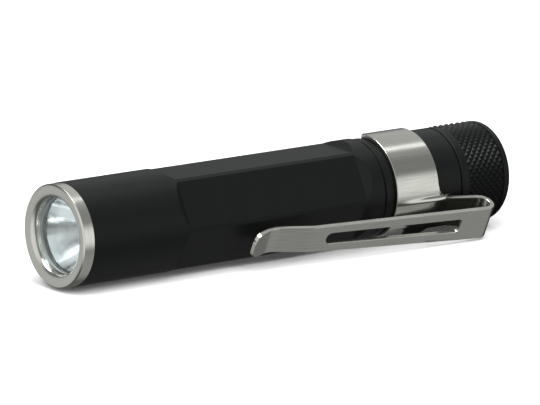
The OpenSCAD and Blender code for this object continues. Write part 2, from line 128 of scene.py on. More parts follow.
def select_corners(piece: bpy.types.Object, wanted: Callable[[np.ndarray], np.ndarray]) -> None:
    """Selects the corners of a piece by their place, and the edges and faces that lie between them.

    Args:
        piece: Mesh object in object mode, which is left in edit mode.
        wanted: Takes the rows of places and returns one truth value for each.
    """
    chosen = wanted(places_of(piece))
    open_mesh(piece)
    bpy.ops.mesh.select_all(action="DESELECT")
    bpy.ops.mesh.select_mode(type="VERT")
    close_mesh()
    piece.data.vertices.foreach_set("select", np.asarray(chosen, dtype=bool))
    bpy.ops.object.mode_set(mode="EDIT")


def added(name: str) -> bpy.types.Object:
    """Names the object that was just added.

    Args:
        name: Name for the object and its mesh.

    Returns:
        The object.
    """
    piece = bpy.context.object
    piece.name = name
    piece.data.name = name
    return piece


def apply_place() -> None:
    """Moves the place, turn and scale of what is selected into its mesh."""
    bpy.ops.object.transform_apply(location=True, rotation=True, scale=True)


def closed_loop(name: str, places: Sequence[Point3]) -> bpy.types.Object:
    """Adds a circle with one corner for each place and moves its corners there.

    Args:
        name: Name of the new object.
        places: Corner places in order round the loop.

    Returns:
        The new object, a closed wire.
    """
    deselect_all()
    bpy.ops.mesh.primitive_circle_add(vertices=len(places), radius=1.0)
    loop = added(name)
    move_to(loop, np.array(places, dtype=float))
    return loop


def bend_corners(points: Sequence[Point3], steps: int, closed: bool) -> list[Point2]:
    """Rounds the corners of a flat path.

    Args:
        points: Two coordinates and the corner radius of each point, 0 for a sharp one.
        steps: Straight pieces in each round corner.
        closed: Whether the last point runs on to the first.

    Returns:
        The points of the rounded path.
    """
    count = len(points)
    path: list[Point2] = []
    for index, (first, second, radius) in enumerate(points):
        here = Vector((first, second))
        at_end = not closed and index in (0, count - 1)
        if at_end or radius <= 0:
            path.append((first, second))
            continue
        to_last = (Vector(points[index - 1][:2]) - here).normalized()
        to_next = (Vector(points[(index + 1) % count][:2]) - here).normalized()
        half = to_last.angle(to_next) / 2
        centre = here + (to_last + to_next).normalized() * (radius / math.sin(half))
        start = here + to_last * (radius / math.tan(half)) - centre
        turn = start.angle_signed(here + to_next * (radius / math.tan(half)) - centre)
        for step in range(steps + 1):
            arm = start.copy()
            arm.rotate(Matrix.Rotation(-turn * step / steps, 2))
            path.append(tuple(centre + arm))
    return path


def turned(name: str, profile: Sequence[Point2], columns: int) -> bpy.types.Object:
    """Turns a closed profile about the X axis.

    Args:
        name: Name of the new piece.
        profile: (x, radius) points in order round the section.
        columns: Steps in the full turn.

    Returns:
        The closed piece.
    """
    piece = closed_loop(name, [(x, radius, 0.0) for x, radius in profile])
    open_mesh(piece)
    bpy.ops.mesh.spin(steps=columns, angle=FULL_TURN, center=(0, 0, 0), axis=(1, 0, 0))
    close_seams()
    close_mesh()
    return piece


def close_seams() -> None:
    """Merges doubled corners, drops loose ones and points the faces outwards, in edit mode."""
    bpy.ops.mesh.select_all(action="SELECT")
    bpy.ops.mesh.remove_doubles(threshold=MERGE)
    bpy.ops.mesh.delete_loose()
    bpy.ops.mesh.select_all(action="SELECT")
    bpy.ops.mesh.normals_make_consistent(inside=False)


def apply_modifier(piece: bpy.types.Object, kind: str, **settings: object) -> None:
    """Adds a modifier to a piece, sets it and applies it.

    Args:
        piece: Mesh object.
        kind: Blender's name for the modifier.
        settings: Values for the modifier's own fields.
    """
    pick(piece)
    modifier = piece.modifiers.new(kind.title(), kind)
    for name, value in settings.items():
        setattr(modifier, name, value)
    bpy.ops.object.modifier_apply(modifier=modifier.name)


def finished(piece: bpy.types.Object, crisp: float) -> bpy.types.Object:
    """Shades a piece smooth, with its wide faces left flat, and brings it from millimetres to metres.

    Args:
        piece: Shaped mesh in millimetres.
        crisp: Angle in degrees from which an edge stays crisp.

    Returns:
        The same piece, with its place kept in its corners.
    """
    pick(piece)
    bpy.ops.object.shade_smooth_by_angle(angle=math.radians(crisp))
    apply_modifier(piece, "WEIGHTED_NORMAL", keep_sharp=True)
    piece.scale = (MM, MM, MM)
    apply_place()
    return piece


def ease(share: np.ndarray) -> np.ndarray:
    """Holds a share between 0 and 1 and softens both of its ends."""
    held = np.clip(share, 0, 1)
    return held * held * (3 - 2 * held)


def remap(tree: bpy.types.NodeTree, value: bpy.types.NodeSocket, before: Point2, after: Point2,
          soft: bool = False) -> bpy.types.NodeSocket:
    """Carries a value from one span over to another and holds it there.

    Args:
        tree: Node tree that it works in.
        value: Value to carry over.
        before: Span that the value comes from.
        after: Span that it goes to.
        soft: Whether it eases in and out at the ends.

    Returns:
        The new value.
    """
    step = tree.nodes.new("ShaderNodeMapRange")
    step.interpolation_type = "SMOOTHSTEP" if soft else "LINEAR"
    for name, level in zip(("From Min", "From Max", "To Min", "To Max"), (*before, *after)):
        step.inputs[name].default_value = level
    tree.links.new(value, step.inputs["Value"])
    return step.outputs["Result"]


class Grain(Enum):
    """How the fine marks of a finish lie."""

    BLASTED = "even specks in all directions"
    BRUSHED = "lines along the strip, laid out on its flat pattern"
    TURNED = "rings about the axis of the light"


class FloorShare(Enum):
    """What a soft box falls on, by the state of its link to the floor."""

    FLOOR_ALONE = "INCLUDE"
    ALL_ELSE = "EXCLUDE"


@dataclass(frozen=True)
class Finish:
    """Finish of a surface: two colours that it varies between, its gloss and its fine marks.

    Attributes:
        slot: Slot of the record that the finish belongs to.
        colour: Main colour.
        shade: Colour that the grain varies to.
        roughness: Lowest and highest roughness over the grain.
        metallic: 1 for bare metal, 0 for the rest.
        grain: How the marks lie.
        grain_size: Width of the marks in millimetres.
        relief: Height of the marks in millimetres.
        specular: Strength of the gloss on what isn't metal.
        transmission: 1 for clear pieces.
        ior: Index of refraction.
        glow: Strength of painted light that a surface sends out by itself, in its main colour, though it is
            no lamp.
        ground_from: Distance from the axis, in millimetres, beyond which it is ground dull, 0 for nowhere.
    """

    slot: str
    colour: Colour
    shade: Colour
    roughness: Point2
    metallic: float = 0.0
    grain: Grain = Grain.BLASTED
    grain_size: float = 0.2
    relief: float = 0.0
    specular: float = 0.5
    transmission: float = 0.0
    ior: float = 1.5
    glow: float = 0.0
    ground_from: float = 0.0

    NOISE_DETAIL: ClassVar[float] = 3.0
    NOISE_SPAN: ClassVar[Point2] = (0.3, 0.7)
    BRUSH_STRETCH: ClassVar[float] = 60.0
    GROUND_FADE: ClassVar[float] = 0.1
    GROUND_ROUGHNESS: ClassVar[float] = 0.7

    def build(self) -> bpy.types.Material:
        """Makes the material.

        Returns:
            A material whose colour, roughness and relief follow the grain.
        """
        material = bpy.data.materials.new(self.slot)
        material.use_nodes = True
        tree = material.node_tree
        shader = tree.nodes["Principled BSDF"]
        shader.inputs["Metallic"].default_value = self.metallic
        shader.inputs["Specular IOR Level"].default_value = self.specular
        shader.inputs["IOR"].default_value = self.ior
        shader.inputs["Transmission Weight"].default_value = self.transmission
        if self.glow:
            shader.inputs["Emission Color"].default_value = (*self.colour, 1.0)
            shader.inputs["Emission Strength"].default_value = self.glow
        marks = self.marks(tree)
        blend = tree.nodes.new("ShaderNodeMix")
        blend.data_type = "RGBA"
        blend.inputs["A"].default_value = (*self.colour, 1.0)
        blend.inputs["B"].default_value = (*self.shade, 1.0)
        tree.links.new(marks, blend.inputs["Factor"])
        tree.links.new(blend.outputs["Result"], shader.inputs["Base Color"])
        roughness = remap(tree, marks, (0.0, 1.0), self.roughness)
        if self.ground_from:
            roughness = self.grind(tree, roughness)
        tree.links.new(roughness, shader.inputs["Roughness"])
        if self.relief:
            bump = tree.nodes.new("ShaderNodeBump")
            bump.inputs["Distance"].default_value = self.relief * MM
            tree.links.new(marks, bump.inputs["Height"])
            tree.links.new(bump.outputs["Normal"], shader.inputs["Normal"])
        return material

    def grind(self, tree: bpy.types.NodeTree, roughness: bpy.types.NodeSocket) -> bpy.types.NodeSocket:
        """Dulls a turned piece towards its edge.

        Args:
            tree: Node tree of the material.
            roughness: Roughness of the polished part.

        Returns:
            Roughness that grows to that of ground glass at the edge.
        """
        place = tree.nodes.new("ShaderNodeTexCoord").outputs["Object"]
        split = tree.nodes.new("ShaderNodeSeparateXYZ")
        tree.links.new(self.rings(tree, place), split.inputs["Vector"])
        fade = (self.ground_from * MM, (self.ground_from + self.GROUND_FADE) * MM)
        dull = remap(tree, split.outputs["Y"], fade, (0.0, self.GROUND_ROUGHNESS))
        most = tree.nodes.new("ShaderNodeMath")
        most.operation = "MAXIMUM"
        tree.links.new(roughness, most.inputs[0])
        tree.links.new(dull, most.inputs[1])
        return most.outputs["Value"]

    def marks(self, tree: bpy.types.NodeTree) -> bpy.types.NodeSocket:
        """Lays out the grain.

        Args:
            tree: Node tree of the material.

        Returns:
            A value from 0 to 1 that varies over the surface.
        """
        noise = tree.nodes.new("ShaderNodeTexNoise")
        noise.inputs["Scale"].default_value = 1.0
        noise.inputs["Detail"].default_value = self.NOISE_DETAIL
        tree.links.new(self.layout(tree), noise.inputs["Vector"])
        return remap(tree, noise.outputs["Fac"], self.NOISE_SPAN, (0.0, 1.0))

    def layout(self, tree: bpy.types.NodeTree) -> bpy.types.NodeSocket:
        """Picks the coordinates that the grain follows.

        Args:
            tree: Node tree of the material.

        Returns:
            Coordinates in which one unit is the width of a mark.
        """
        per_mark = 1 / (self.grain_size * MM)
        mapping = tree.nodes.new("ShaderNodeMapping")
        if self.grain is Grain.BRUSHED:
            pattern = tree.nodes.new("ShaderNodeUVMap")
            pattern.uv_map = Clip.PATTERN
            along = per_mark / self.BRUSH_STRETCH
            mapping.inputs["Scale"].default_value = (along * MM, per_mark * MM, 1.0)
            tree.links.new(pattern.outputs["UV"], mapping.inputs["Vector"])
            return mapping.outputs["Vector"]
        place = tree.nodes.new("ShaderNodeTexCoord").outputs["Object"]
        if self.grain is Grain.TURNED:
            place = self.rings(tree, place)
        mapping.inputs["Scale"].default_value = (per_mark, per_mark, per_mark)
        tree.links.new(place, mapping.inputs["Vector"])
        return mapping.outputs["Vector"]

    @staticmethod
    def rings(tree: bpy.types.NodeTree, place: bpy.types.NodeSocket) -> bpy.types.NodeSocket:
        """Turns places into distance along the axis and distance from it.

        Args:
            tree: Node tree of the material.
            place: Object coordinates.

        Returns:
            Coordinates that stay the same all the way round the axis.
        """
        split = tree.nodes.new("ShaderNodeSeparateXYZ")
        across = tree.nodes.new("ShaderNodeCombineXYZ")
        length = tree.nodes.new("ShaderNodeVectorMath")
        length.operation = "LENGTH"
        joined = tree.nodes.new("ShaderNodeCombineXYZ")
        tree.links.new(place, split.inputs["Vector"])
        tree.links.new(split.outputs["Y"], across.inputs["Y"])
        tree.links.new(split.outputs["Z"], across.inputs["Z"])
        tree.links.new(across.outputs["Vector"], length.inputs[0])
        tree.links.new(split.outputs["X"], joined.inputs["X"])
        tree.links.new(length.outputs["Value"], joined.inputs["Y"])
        return joined.outputs["Vector"]


FINISHES = (
    Finish("black_anodised", (0.0095, 0.0112, 0.0105), (0.0130, 0.0147, 0.0140), (0.36, 0.46),
           grain_size=0.12, relief=0.0012, specular=0.15),
    Finish("bezel_steel", (0.67, 0.68, 0.63), (0.58, 0.59, 0.545), (0.18, 0.28), metallic=1.0,
           grain=Grain.TURNED, grain_size=0.07, relief=0.0012),
    Finish("clip_steel", (0.60, 0.61, 0.56), (0.50, 0.51, 0.47), (0.14, 0.24), metallic=1.0,
           grain=Grain.BRUSHED, grain_size=0.08, relief=0.0010),
    Finish("grey_seal", (0.50, 0.54, 0.55), (0.56, 0.60, 0.61), (0.45, 0.60), relief=0.004),
    Finish("lens_glass", (0.93, 0.97, 0.975), (0.90, 0.95, 0.955), (0.0, 0.015), grain_size=2.0,
           transmission=1.0, ior=1.47, ground_from=5.15),
    Finish("reflector_mirror", (0.92, 0.93, 0.93), (0.88, 0.89, 0.90), (0.10, 0.16), metallic=1.0,
           grain=Grain.TURNED, grain_size=0.35, relief=0.0010),
    Finish("white_plastic", (0.84, 0.84, 0.81), (0.76, 0.76, 0.73), (0.45, 0.60), relief=0.004),
    Finish("emitter_ceramic", (0.80, 0.79, 0.74), (0.72, 0.71, 0.66), (0.30, 0.45),
           grain_size=0.1, relief=0.002),
    # The phosphor's glow is painted light: the emitter is not lit as a lamp, and the glow brightens it beyond
    # the light that falls on it.
    Finish("phosphor", (0.90, 0.62, 0.04), (0.80, 0.50, 0.03), (0.55, 0.70), grain_size=0.06, relief=0.003,
           glow=0.5),
    Finish("dome_silicone", (0.97, 0.95, 0.86), (0.94, 0.92, 0.82), (0.0, 0.02), grain_size=0.5,
           transmission=1.0, ior=1.41),
    Finish("emitter_board", (0.76, 0.78, 0.76), (0.68, 0.70, 0.68), (0.30, 0.45),
           grain_size=0.15, relief=0.002),
    Finish("red_wire", (0.42, 0.02, 0.02), (0.34, 0.015, 0.015), (0.28, 0.40), relief=0.002),
    Finish("black_wire", (0.012, 0.012, 0.012), (0.02, 0.02, 0.02), (0.28, 0.40), relief=0.002),
    Finish("pill_brass", (0.58, 0.40, 0.15), (0.46, 0.31, 0.11), (0.25, 0.38), metallic=1.0,
           grain=Grain.TURNED, grain_size=0.08, relief=0.0012),
    Finish("coil_ferrite", (0.08, 0.08, 0.09), (0.12, 0.12, 0.13), (0.50, 0.70),
           grain_size=0.1, relief=0.004),
    Finish("chip_epoxy", (0.018, 0.018, 0.018), (0.03, 0.03, 0.03), (0.45, 0.60),
           grain_size=0.08, relief=0.003),
    Finish("capacitor_ceramic", (0.38, 0.25, 0.12), (0.30, 0.20, 0.10), (0.40, 0.55),
           grain_size=0.1, relief=0.003),
    Finish("driver_laminate", (0.02, 0.17, 0.07), (0.015, 0.12, 0.05), (0.30, 0.42),
           grain_size=0.15, relief=0.002),
    Finish("contact_brass", (0.70, 0.50, 0.18), (0.58, 0.40, 0.14), (0.18, 0.30),
           metallic=1.0, relief=0.0008),
    Finish("cell_nickel", (0.64, 0.64, 0.62), (0.55, 0.55, 0.53), (0.15, 0.28), metallic=1.0, relief=0.0008),
    Finish("cell_body", (0.46, 0.47, 0.48), (0.38, 0.39, 0.40), (0.30, 0.42), metallic=1.0, relief=0.001),
    Finish("cell_film", (0.06, 0.16, 0.26), (0.05, 0.13, 0.22), (0.20, 0.30), grain_size=1.0, relief=0.004),
    Finish("black_rubber", (0.012, 0.012, 0.013), (0.02, 0.02, 0.021), (0.40, 0.55), relief=0.002),
)


@dataclass
class Shop:
    """Keeps the finishes of the light and puts them on its pieces."""

    materials: dict[str, bpy.types.Material] = field(init=False)

    def __post_init__(self) -> None:
        """Makes every finish once."""
        self.materials = {finish.slot: finish.build() for finish in FINISHES}

    def dress(self, piece: bpy.types.Object, slot: str, nodes: Sequence[str]) -> None:
        """Gives a new piece its finish and lets it stand for its solids.

        Args:
            piece: Finished mesh in metres.
            slot: Slot of the record that it takes its finish from.
            nodes: Solids that it stands for.
        """
        piece.data.materials.clear()
        piece.data.materials.append(self.materials[slot])
        if nodes:
            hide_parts(*nodes)

    def fit(self, piece: bpy.types.Object, body: str, slot: str, *nodes: str) -> None:
        """Dresses a rigid piece and lets it move with its body.

        Args:
            piece: Finished mesh in metres.
            body: Body that carries it.
            slot: Slot of the record that it takes its finish from.
            nodes: Solids that it stands for.
        """
        self.dress(piece, slot, nodes)
        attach(piece, body)
        LOG.info("%s rides on %s in %s", piece.name, body, slot)

    def dress_solids(self) -> None:
        """Gives each solid that still shows the finish of its slot."""
        for row in frame["record"]["subparts"]:
            solid = frame["nodes"][row["node"]]
            if solid.hide_render:
                continue
            material = self.materials[row["material_slot"]]
            if solid.material_slots:
                solid.material_slots[0].material = material
            else:
                solid.data.materials.append(material)
            LOG.info("%s keeps its solid in %s", row["node"], row["material_slot"])


@dataclass
class Barrel:
    """Black tube with six flats, a neck for the clip and a threaded tail."""

    radius: float = 7.0
    length: float = 48.5
    front_bore: float = 6.34
    front_depth: float = 13.55
    bore: float = 5.35
    shoulder_break: float = 0.4
    neck: float = 6.85
    groove: float = 6.75
    groove_start: float = 49.7
    groove_end: float = 57.3
    neck_end: float = 61.55
    neck_break: float = 0.12
    tail: float = 6.28
    tail_core: float = 5.75
    tail_end: float = 66.25
    ring_start: float = 62.1
    ring_end: float = 62.7
    ring_floor: float = 5.79
    bend_steps: int = 3
    crisp: float = 18.0
    flat_floor: float = 6.2
    flats_start: float = 14.25
    flats_end: float = 46.25
    run_out: float = 1.2
    flats_turn: float = 152.0
    flat_count: int = 6
    cutter_top: float = 8.0
    cutter_half: float = 3.4
    columns: int = 240
    thread_start: float = 63.15
    thread_end: float = 66.2
    thread_root: float = 5.72
    thread_crest: float = 6.1
    thread_inner: float = 5.5
    thread_steps: int = 96
    thread_crisp: float = 20.0
    spare_turns: int = 2
    cut_snap: float = 1e-6
    pitch: float = 0.8

    def profile(self) -> list[Point2]:
        """Draws the section of the tube.

        Returns:
            (x, radius) points from the front of the barrel to the tail and back along the bore.
        """
        # Each row is one corner: x, radius, and the radius that its edge is broken with.
        corners = [
            (0.0, self.front_bore, 0.03),
            (0.0, self.radius, 0.07),
            (self.length - self.shoulder_break, self.radius, 0.08),
            (self.length, self.radius - self.shoulder_break, 0.04),
            (self.length, self.neck, 0.06),
            (self.groove_start, self.neck, 0.03),
            (self.groove_start, self.groove, 0.0),
            (self.groove_end, self.groove, 0.0),
            (self.groove_end, self.neck, 0.03),
            (self.neck_end - self.neck_break, self.neck, 0.03),
            (self.neck_end, self.neck - self.neck_break, 0.03),
            (self.neck_end, self.tail, 0.03),
            (self.ring_start, self.tail, 0.03),
            (self.ring_start, self.ring_floor, 0.0),
            (self.ring_end, self.ring_floor, 0.0),
            (self.ring_end, self.tail, 0.03),
            (self.thread_start, self.tail, 0.03),
            (self.thread_start, self.tail_core, 0.0),
            (self.tail_end, self.tail_core, 0.05),
            (self.tail_end, self.bore, 0.03),
            (self.front_depth, self.bore, 0.0),
            (self.front_depth, self.front_bore, 0.0),
        ]
        return bend_corners(corners, self.bend_steps, True)

    def cutters(self) -> bpy.types.Object:
        """Makes the blocks that mill the flats.

        Returns:
            One object with a block for each flat, narrower at its floor than at its top.
        """
        slope = self.run_out / (self.radius - self.flat_floor)
        reach = (self.cutter_top - self.flat_floor) * slope
        floor_start, floor_end = self.flats_start + self.run_out, self.flats_end - self.run_out
        long, short = floor_end - floor_start + 2 * reach, floor_end - floor_start
        middle = (floor_start + floor_end) / 2
        high = self.cutter_top - self.flat_floor
        blocks = []
        for index in range(self.flat_count):
            deselect_all()
            bpy.ops.mesh.primitive_cube_add(size=1, location=(middle, 0, self.flat_floor + high / 2))
            block = bpy.context.object
            block.scale = (long, 2 * self.cutter_half, high)
            apply_place()
            select_corners(block, lambda places: places[:, 2] < self.flat_floor + high / 2)
            bpy.ops.transform.resize(value=(short / long, 1, 1), center_override=(middle, 0, self.flat_floor))
            close_mesh()
            turn = self.flats_turn - 90 + index * 360 / self.flat_count
            block.rotation_euler = (math.radians(turn), 0, 0)
            apply_place()
            blocks.append(block)
        pick(blocks[0])
        for block in blocks:
            block.select_set(True)
        bpy.ops.object.join()
        return blocks[0]

    def tube(self) -> bpy.types.Object:
        """Turns the tube and mills its flats.

        Returns:
            The finished tube.
        """
        tube = turned("barrel_tube", self.profile(), self.columns)
        cutters = self.cutters()
        apply_modifier(tube, "BOOLEAN", operation="DIFFERENCE", solver="EXACT", object=cutters)
        bpy.data.objects.remove(cutters)
        return finished(tube, self.crisp)

    def thread(self) -> bpy.types.Object:
        """Winds the thread of the tail and cuts its ends square.

        Returns:
            A closed sleeve whose outside is the thread.
        """
        start = self.thread_start - self.spare_turns * self.pitch
        # Section of one turn: share of the pitch, with 0 at the root and 1 at the crest.
        shares = ((0.0, 0), (0.1, 0), (0.38, 1), (0.62, 1), (0.9, 0), (1.0, 0))
        depth = self.thread_crest - self.thread_root
        deselect_all()
        bpy.ops.mesh.primitive_grid_add(x_subdivisions=len(shares) - 1, y_subdivisions=1, size=1)
        thread = added("barrel_thread")
        select_corners(thread, lambda places: places[:, 1] > 0)
        bpy.ops.mesh.delete(type="VERT")
        close_mesh()
        order = np.argsort(places_of(thread)[:, 0])
        section = np.zeros((len(shares), 3))
        for index, (share, crest) in zip(order, shares):
            section[index] = (start + share * self.pitch, self.thread_root + crest * depth, 0)
        move_to(thread, section)
        turns = math.ceil((self.thread_end - start) / self.pitch) + self.spare_turns
        apply_modifier(thread, "SCREW", axis="X", angle=FULL_TURN, screw_offset=self.pitch, iterations=turns,
                       steps=self.thread_steps, render_steps=self.thread_steps, use_merge_vertices=True,
                       merge_threshold=MERGE)
        for place, side in ((self.thread_start, -1), (self.thread_end, 1)):
            open_mesh(thread)
            bpy.ops.mesh.bisect(plane_co=(place, 0, 0), plane_no=(side, 0, 0), clear_outer=True,
                                threshold=self.cut_snap)
            close_mesh()
            select_corners(thread, lambda places, at=place: np.abs(places[:, 0] - at) < MERGE)
            bpy.ops.mesh.extrude_edges_move()
            close_mesh()
            places = places_of(thread)
            chosen = np.array([corner.select for corner in thread.data.vertices])
            places[chosen, 1:] *= (self.thread_inner / from_axis(places)[chosen])[:, None]
            move_to(thread, places)
        select_corners(thread, lambda places: from_axis(places) < self.thread_inner + MERGE)
        bpy.ops.mesh.select_mode(type="EDGE")
        bpy.ops.mesh.bridge_edge_loops()
        close_seams()
        close_mesh()
        return finished(thread, self.thread_crisp)

    def build(self, shop: Shop) -> None:
        """Makes the tube and its thread and dresses them."""
        shop.fit(self.tube(), "barrel", "black_anodised", "body_tube")
        shop.fit(self.thread(), "barrel", "black_anodised")


@dataclass
class Head:
    """Bezel, window, bowl and emitter at the front of the light."""

    bezel_front: float = -1.75
    bezel_radius: float = 6.95
    bezel_break: float = 0.2
    dish: float = 0.3
    lip_bend: float = 0.85
    lip_steps: int = 8
    edge: float = 0.05
    sleeve: float = 6.3
    sleeve_bore: float = 5.75
    sleeve_end: float = 4.2
    seal_front: float = -0.3
    window: float = 5.1
    window_edge: float = 0.04
    lens_radius: float = 5.7
    lens_thick: float = 1.2
    lens_gap: float = 0.02
    lens_break: float = 0.1
    lens_steps: int = 3
    mouth: float = 5.0
    emitter_hole: float = 1.5
    bowl_depth: float = 5.6
    bowl_wall: float = 0.35
    bowl_back: float = 3.2
    bowl_steps: int = 40
    flange: float = 0.5
    dome: float = 1.3
    dome_steps: int = 24
    dome_columns: int = 96
    columns: int = 192
    crisp: float = 20.0
    bowl_crisp: float = 25.0
    dome_crisp: float = 40.0

    def bezel(self) -> bpy.types.Object:
        """Turns the steel ring with its dished face and its sleeve.

        Returns:
            The finished ring.
        """
        front, outer = self.bezel_front, self.bezel_radius
        corners = [
            (front + self.dish, self.window, self.lip_bend),
            (front, outer - self.bezel_break, self.edge),
            (front + self.bezel_break, outer, self.edge),
            (0.0, outer, self.edge),
            (0.0, self.sleeve, 0.0),
            (self.sleeve_end, self.sleeve, self.edge),
            (self.sleeve_end, self.sleeve_bore, 0.0),
            (self.seal_front, self.sleeve_bore, 0.0),
            (self.seal_front, self.window, self.window_edge),
        ]
        section = bend_corners(corners, self.lip_steps, True)
        return finished(turned("bezel", section, self.columns), self.crisp)

    def lens(self) -> bpy.types.Object:
        """Turns the flat window with its edges broken.

        Returns:
            The finished window.
        """
        front, back = self.lens_gap, self.lens_thick - self.lens_gap
        corners = [
            (front, 0.0, 0.0), (front, self.lens_radius, self.lens_break),
            (back, self.lens_radius, self.lens_break), (back, 0.0, 0.0),
        ]
        section = bend_corners(corners, self.lens_steps, True)
        return finished(turned("lens_disc", section, self.columns), self.crisp)

    def bowl(self) -> bpy.types.Object:
        """Turns the reflector, whose inside is a parabola.

        Returns:
            The finished bowl.
        """
        drop = self.bowl_depth / (self.mouth**2 - self.emitter_hole**2)
        inside = []
        for step in range(self.bowl_steps + 1):
            radius = self.mouth + (self.emitter_hole - self.mouth) * step / self.bowl_steps
            inside.append((self.lens_thick + drop * (self.mouth**2 - radius**2), radius))
        flange_back = self.lens_thick + self.flange
        outside = [
            (self.lens_thick + self.bowl_depth, self.bowl_back), (flange_back, self.mouth + self.bowl_wall),
            (flange_back, self.lens_radius), (self.lens_thick, self.lens_radius),
        ]
        return finished(turned("reflector_bowl", inside + outside, self.columns), self.bowl_crisp)

    def emitter_dome(self) -> bpy.types.Object:
        """Turns the clear dome over the emitter.

        Returns:
            The finished dome.
        """
        base = self.lens_thick + self.bowl_depth
        section = [(base, 0.0)]
        for step in range(self.dome_steps + 1):
            angle = math.radians(90 * step / self.dome_steps)
            section.append((base - self.dome * math.sin(angle), self.dome * math.cos(angle)))
        return finished(turned("emitter_dome", section, self.dome_columns), self.dome_crisp)

    def build(self, shop: Shop) -> None:
        """Makes the turned pieces of the head and dresses them.

        Args:
            shop: Keeper of the finishes.
        """
        shop.fit(self.bezel(), "barrel", "bezel_steel", "bezel_ring")
        shop.fit(self.lens(), "barrel", "lens_glass", "lens")
        shop.fit(self.bowl(), "barrel", "reflector_mirror", "reflector")
        shop.fit(self.emitter_dome(), "barrel", "dome_silicone", "led_dome")


@dataclass
class Clip:
    """Spring clip: one strip cut flat, wrapped round the neck, turned back and kneed towards its tip."""

    PATTERN: ClassVar[str] = "flat_pattern"

    thick: float = 0.65
    facing: float = 205.4
    band_start: float = 49.9
    band_end: float = 57.1
    band_middle: float = 7.105
    band_open: float = 114.0
    band_corner: float = 0.5
    tab_half: float = 2.15
    tab_fillet: float = 2.0
    tab_height: float = 7.225
    crease_x: float = 58.4
    crease_bend: float = 2.0
    turn_x: float = 64.075
    tab_top: float = 8.7457
    arm_top: float = 11.21
    turn_radius: float = 1.275
    split_height: float = 9.774
    knee: Point2 = (34.6, 8.775)
    knee_bend: float = 8.0
    contact: Point2 = (28.7, 7.475)
    contact_bend: float = 4.0
    tip: Point2 = (25.2, 8.575)
    tip_corner: float = 1.3
    rear_half: float = 2.5
    front_half: float = 1.85
    slot_start: float = 37.0
    slot_end: float = 58.8
    slot_front_half: float = 0.85
    slot_rear_half: float = 1.05
    slot_corner: float = 0.5
    slot_round: float = 0.98
    joggle: float = 62.0
    joggle_end: float = 20.5
    joggle_radii: Point2 = (0.4, 0.5)
    arm_slope: float = 0.105
    flex_half: float = 0.5
    edge: float = 0.1
    edge_segments: int = 3
    edge_angle: float = 50.0
    crisp: float = 35.0
    row: float = 0.8
    cut_snap: float = 1e-5
    corner_steps: int = 10
    side_steps: int = 14
    wrap_steps: int = 1200
    crease_cuts: int = 6
    wing_cuts: int = 48
    side: np.ndarray = field(init=False, repr=False)
    run: np.ndarray = field(init=False, repr=False)
    wrap: np.ndarray = field(init=False, repr=False)
    wrap_run: np.ndarray = field(init=False, repr=False)
    wing_bends: np.ndarray = field(init=False, repr=False)

    def __post_init__(self) -> None:
        """Works out the side view of the strip and the end view of the band."""
        corners = [
            (self.band_start, self.tab_height, 0.0), (self.crease_x, self.tab_height, self.crease_bend),
            (self.turn_x, self.tab_top, self.turn_radius), (self.turn_x, self.arm_top, self.turn_radius),
            (*self.knee, self.knee_bend), (*self.contact, self.contact_bend), (*self.tip, 0.0),
        ]
        self.side = np.array(bend_corners(corners, self.side_steps, False))
        steps = np.hypot(*np.diff(self.side, axis=0).T)
        self.run = np.concatenate([[0.0], np.cumsum(steps)])
        self.wrap, self.wrap_run = self.end_view()

    def end_view(self) -> tuple[np.ndarray, np.ndarray]:
        """Draws half of the band as seen along the axis.

        Returns:
            (across, height) points from the tab's middle to the open end, and the strip's length at each.
        """
        rise, land = math.radians(self.joggle), math.radians(self.joggle_end)
        first, second = self.joggle_radii
        drop = self.tab_height - self.band_middle * math.cos(land)
        drop -= first * (1 - math.cos(rise)) + second * (math.cos(land) - math.cos(rise))
        straight = drop / math.sin(rise)
        flat = self.band_middle * math.sin(land) - first * math.sin(rise) - straight * math.cos(rise)
        flat -= second * (math.sin(rise) - math.sin(land))
        last = math.radians(180 - self.band_open / 2)
        lengths = (flat, first * rise, straight, second * (rise - land), self.band_middle * (last - land))
        directions = (0.0, 0.0, rise, rise, land, last)
        run = np.concatenate([[0.0], np.cumsum(lengths)])
        fine = np.linspace(0.0, run[-1], self.wrap_steps)
        heading = np.interp(fine, run, directions)
        middle = (heading[1:] + heading[:-1]) / 2
        step = fine[1] - fine[0]
        across = np.concatenate([[0.0], np.cumsum(np.cos(middle) * step)])
        height = self.tab_height - np.concatenate([[0.0], np.cumsum(np.sin(middle) * step)])
        self.wing_bends = run
        return np.column_stack([across, height]), fine

    def run_at(self, x: float, on_arm: bool) -> float:
        """Length of strip from the band to a place.

        Args:
            x: Place along the axis.
            on_arm: Whether the place is on the arm or on the tab below it.

        Returns:
            Length along the middle of the strip.
        """
        turn = int(np.argmax(self.side[:, 0]))
        if on_arm:
            return float(np.interp(-x, -self.side[turn:, 0], self.run[turn:]))
        return float(np.interp(x, self.side[:turn + 1, 0], self.run[:turn + 1]))

    def outline(self) -> list[Point2]:
        """One half of the flat pattern, from the front of the band round to the slot and back.

        Returns:
            (length along the strip, distance from its middle line) points.
        """
        band = self.band_end - self.band_start
        wing = float(self.wrap_run[-1])
        tip = self.run_at(self.tip[0], True)
        slot_front, slot_rear = self.run_at(self.slot_start, True), self.run_at(self.slot_end, True)
        corners = [
            (0.0, 0.0, 0.0), (0.0, wing, self.band_corner), (band, wing, self.band_corner),
            (band, self.tab_half, self.tab_fillet),
            (self.run_at(self.turn_x - self.turn_radius, False), self.rear_half, 0.0),
            (self.run_at(self.turn_x - self.turn_radius, True), self.rear_half, 0.0),
            (tip, self.front_half, self.tip_corner), (tip, 0.0, 0.0),
            (slot_front, 0.0, 0.0),
            (slot_front, self.slot_front_half, self.slot_front_half * self.slot_round),
            (slot_rear, self.slot_rear_half, self.slot_corner), (slot_rear, 0.0, 0.0),
        ]
        return bend_corners(corners, self.corner_steps, True)

